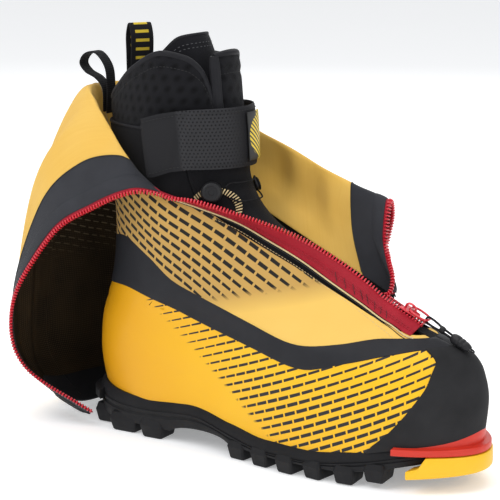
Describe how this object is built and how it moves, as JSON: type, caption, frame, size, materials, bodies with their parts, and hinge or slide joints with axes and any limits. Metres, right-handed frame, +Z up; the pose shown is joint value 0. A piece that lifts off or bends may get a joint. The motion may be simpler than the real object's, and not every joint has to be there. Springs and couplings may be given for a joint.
{
  "type": "double mountaineering boot",
  "caption": "Double mountaineering boot for high altitude, with its zip gaiter open and turned down over the heel, showing the padded inner boot.",
  "frame": {"origin": "on the ground, at the middle of the heel tread", "axes": "+X towards the toe, +Y towards the big-toe side, +Z up"},
  "size_m": [0.3963, 0.1617, 0.3067],
  "materials": {
    "rubber_black": "moulded, matt",
    "midsole_black": "foamed rubber, matt",
    "carbon": "woven carbon laminate",
    "welt_red": "moulded, slightly clear",
    "insert_yellow": "moulded",
    "rand_yellow": "coated fabric with printed dashes",
    "toe_rubber": "matt",
    "band_grey": "welded film",
    "fabric_yellow": "woven with printed dashes",
    "garage_black": "woven",
    "shell_fabric": "dense woven",
    "felt_black": "knitted mesh over foam",
    "strap_black": "webbing",
    "patch_yellow": "moulded",
    "lining_yellow": "membrane-backed stretch fabric",
    "gaiter_band": "bonded reinforcement",
    "hem_black": "elastic",
    "zip_red": "water-repellent coated zip",
    "slider_red": "gloss paint",
    "cord_black": "braided",
    "plastic_black": "moulded"
  },
  "bodies": {
    "boot": {"outsole": "rubber_black", "midsole": "midsole_black", "shank_plate": "carbon", "toe_welt": "welt_red", "toe_insert": "insert_yellow", "heel_welt": "rubber_black", "rand_shell": "rand_yellow", "toe_cap": "toe_rubber", "rand_band": "band_grey", "vamp_near": "fabric_yellow", "vamp_far": "fabric_yellow", "zip_garage": "garage_black", "shell_body": "shell_fabric", "shell_shaft": "shell_fabric", "shell_tongue": "shell_fabric", "bootie_body": "felt_black", "footbed": "felt_black", "bootie_cuff_near": "felt_black", "bootie_cuff_far": "felt_black", "bootie_tongue": "felt_black", "gaiter_near": "lining_yellow", "gaiter_far": "lining_yellow", "gaiter_band_near": "gaiter_band", "gaiter_band_far": "gaiter_band", "gaiter_hem_near": "hem_black", "gaiter_hem_far": "hem_black", "gaiter_patch": "hem_black", "zip_tape_near": "zip_red", "zip_tape_far": "zip_red", "zip_teeth_near": "zip_red", "zip_teeth_far": "zip_red", "dial_base": "plastic_black", "lace_guide": "plastic_black", "dial_lace": "cord_black", "vamp_piping": "lining_yellow"},
    "slider": {"zip_slider": "slider_red"},
    "ring": {"zip_ring": "slider_red"},
    "pull": {"zip_cord": "cord_black", "zip_grip": "plastic_black"},
    "dial": {"dial_knob": "plastic_black"},
    "strap": {"bootie_strap": "strap_black", "strap_tab": "patch_yellow"},
    "rear_loop": {"shell_pull_loop": "strap_black"},
    "top_loop": {"bootie_pull_loop": "strap_black"}
  },
  "joints": [
    {"name": "zip_slide", "type": "slide", "parent": "boot", "child": "slider", "axis": [-0.8944, 0, 0.4472], "range_m": [0, 0.009]},
    {"name": "ring_hinge", "type": "hinge", "parent": "slider", "child": "ring", "pos_m": [0.22206, 0, 0.12031], "axis": [0, -1, 0], "range_deg": [0, 120]},
    {"name": "pull_hinge", "type": "hinge", "parent": "ring", "child": "pull", "pos_m": [0.23565, 0, 0.11352], "axis": [0, -1, 0], "range_deg": [0, 55]},
    {"name": "dial_turn", "type": "hinge", "parent": "boot", "child": "dial", "pos_m": [0.07318, -0.0309, 0.19179], "axis": [0.5258, -0.8276, 0.1966], "continuous": true},
    {"name": "strap_swing", "type": "hinge", "parent": "boot", "child": "strap", "pos_m": [0.0232, -0.04414, 0.21984], "axis": [0, 0, -1], "range_deg": [0, 55]},
    {"name": "rear_loop_bend", "type": "hinge", "parent": "boot", "child": "rear_loop", "pos_m": [-0.0403, -0.004, 0.239], "axis": [0, 1, 0], "range_deg": [-3, 6], "stiffness_Nm_per_rad": 0.1},
    {"name": "top_loop_bend", "type": "hinge", "parent": "boot", "child": "top_loop", "pos_m": [-0.0189, 0.0068, 0.263], "axis": [0.507, 0.862, 0], "range_deg": [-2, 20], "stiffness_Nm_per_rad": 0.1}
  ]
}
